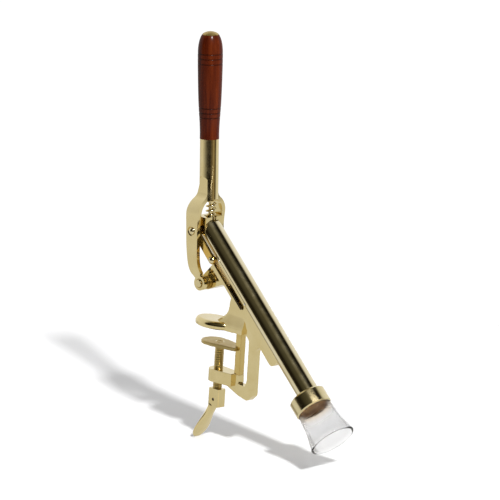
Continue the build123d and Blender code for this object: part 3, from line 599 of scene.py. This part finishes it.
# Each card: where it hangs, full inside and nothing outside (both in degrees), its colour and its blend.
soft_cards = (
    (Z_AXIS, 20.0, 46.0, (0.20, 0.18, 0.14), "MULTIPLY"),
    (Vector((-0.88, -0.05, -0.46)).normalized(), 6.0, 17.0, (0.50, 0.46, 0.38), "MULTIPLY"),
    (studio_heading(-0.02, 0.71, 0.70), 0.0, 17.0, (0.07, 0.064, 0.045), "ADD"),
    (studio_heading(-0.22, 0.60, 0.76), 5.0, 46.0, (0.062, 0.057, 0.034), "ADD"),
    (studio_heading(0.80, -0.30, 0.50), 0.0, 14.0, (0.18, 0.15, 0.09), "ADD"),
    (studio_heading(0.74, -0.30, 0.55), 8.0, 38.0, (0.14, 0.105, 0.055), "ADD"),
)
for card in soft_cards:
    dome = soft_card(dome, *card)


def background(colour, strength):
    """A light of the world, from a colour or from a node."""
    light = add_node(sky, "ShaderNodeBackground")
    light.inputs["Strength"].default_value = strength
    feed(sky, colour, light.inputs["Color"])
    return light.outputs["Background"]


def pick_light(test, yes, no):
    """One of two lights, by what kind of ray asks."""
    choice = add_node(sky, "ShaderNodeMixShader")
    sky.links.new(test, choice.inputs["Fac"])
    sky.links.new(no, choice.inputs[1])
    sky.links.new(yes, choice.inputs[2])
    return choice.outputs["Shader"]


matt_left, matt_right, glass_strength, seen_strength = 0.10, 1.20, 0.72, 1.05
ray = add_node(sky, "ShaderNodeLightPath").outputs
rightwards = facing(studio_heading(1.0, 0.0, -0.15))
matt_light = background(add_range(sky, rightwards, -0.9, 0.9, matt_left, matt_right), 1.0)
seen_light = background(PLAIN_WHITE, seen_strength)
light = pick_light(ray["Is Diffuse Ray"], matt_light, background(dome, 1.0))
light = pick_light(ray["Is Transmission Ray"], background(PLAIN_WHITE, glass_strength), light)
light = pick_light(ray["Is Camera Ray"], seen_light, light)
sky_out = add_node(sky, "ShaderNodeOutputWorld")
sky.links.new(light, sky_out.inputs["Surface"])
print("dark side towards", [round(v, 2) for v in toward_camera], "with", len(soft_cards), "cards")

# %% [markdown]
# The shadow in the photograph fixes both the table and the lamp. It starts under the tip of the thumb
# handle, which touches the table, so the paper lies just under that tip. It runs level from left to
# right in the view, which looks down on it by 15 degrees. The paper is staging, and no part of the
# corkscrew.

# %% Table
handle_tip = Vector((-30.5, 0.0, -147.7)) * MM
below_middle = Vector((0.03, 0, 0))
table_rise = math.radians(15)
table_radius, table_gap = 0.62, 0.0002
table_up = (camera_up * math.cos(table_rise) + toward_camera * math.sin(table_rise)).normalized()
table_front = (toward_camera - table_up * toward_camera.dot(table_up)).normalized()
table_centre = handle_tip + (below_middle - handle_tip).project(camera_right) - table_up * table_gap


def axes_matrix(x, y, z):
    """A turn that takes the world's axes to these three."""
    return Matrix((x, y, z)).transposed().to_4x4()


table = bmesh.new()
bmesh.ops.create_circle(table, cap_ends=True, segments=96, radius=table_radius)
lay_flat = axes_matrix(camera_right, table_up.cross(camera_right), table_up)
bmesh.ops.transform(table, matrix=Matrix.Translation(table_centre) @ lay_flat, verts=table.verts)
table_mesh = bpy.data.meshes.new("table_sheet")
table.to_mesh(table_mesh)
table.free()
table_sheet = add_object("table_sheet", table_mesh)
paper, _, paper_shader = start_finish("White paper")
paper_shader.inputs["Base Color"].default_value = (0.86, 0.86, 0.865, 1.0)
paper_shader.inputs["Roughness"].default_value = 0.9
paper_shader.inputs["Specular IOR Level"].default_value = 0.1
table_mesh.materials.append(paper)
table_sheet.visible_glossy = False
print("table under the tip at", [round(v / MM) for v in table_centre], "mm")

# %% [markdown]
# The shadow runs away to the left, so the lamp stands high on the right, on the camera's side. Its edge
# is soft far from the foot, so the lamp has some size. A strip of light close to the collar gives it a
# bright patch at its lower rim, which fades up the barrel.

# %% Lamps
lamp_turn, lamp_rise = math.radians(24), math.radians(46)
toward_lamp = (table_front * math.cos(lamp_turn) + camera_right * math.sin(lamp_turn)) * math.cos(lamp_rise)
toward_lamp = toward_lamp + table_up * math.sin(lamp_rise)
lamp_data = bpy.data.lights.new("Key lamp", "SUN")
lamp_data.energy = 3.0
lamp_data.angle = math.radians(5)
lamp = add_object("key_lamp", lamp_data)
lamp.rotation_mode = "QUATERNION"
lamp.rotation_quaternion = (-toward_lamp).to_track_quat("-Z", "Y")

rim_depth, strip_distance = 0.284, 0.24
collar_rim = barrel_start + barrel_down * rim_depth
toward_strip = studio_heading(0.16, 0.76, 0.63)
strip_long = barrel_down.cross(toward_strip).normalized()
strip_turn = axes_matrix(strip_long, toward_strip.cross(strip_long), toward_strip)
strip_data = bpy.data.lights.new("Strip light", "AREA")
strip_data.shape = "RECTANGLE"
strip_data.size = 0.17
strip_data.size_y = 0.006
strip_data.energy = 0.013
strip_data.color = (1.0, 0.95, 0.90)
strip_light = add_object("strip_light", strip_data)
strip_light.matrix_world = Matrix.Translation(collar_rim + toward_strip * strip_distance) @ strip_turn
print("lamps towards", [[round(v, 2) for v in way] for way in (toward_lamp, toward_strip)])

# %% [markdown]
# The view was fitted as nearly parallel, so the camera stands far off with a long lens. Its centre is
# given from the pivot of the linkage, which is easy to find in the photograph.

# %% Camera
camera_distance = 10.0
view_width = 0.625
centre_right, centre_down = 0.0571, 0.0266
view_centre = pivot + camera_right * centre_right - camera_up * centre_down
camera_data = bpy.data.cameras.new("Long lens")
camera_data.sensor_width = 36.0
camera_data.lens = camera_data.sensor_width * camera_distance / view_width
camera_data.clip_end = 60.0
camera = add_object("camera", camera_data)
camera_turn = axes_matrix(camera_right, camera_up, toward_camera)
camera.matrix_world = Matrix.Translation(view_centre + toward_camera * camera_distance) @ camera_turn
bpy.context.scene.camera = camera
bpy.context.scene.view_settings.view_transform = "Standard"
print("lens", round(camera_data.lens), "mm")
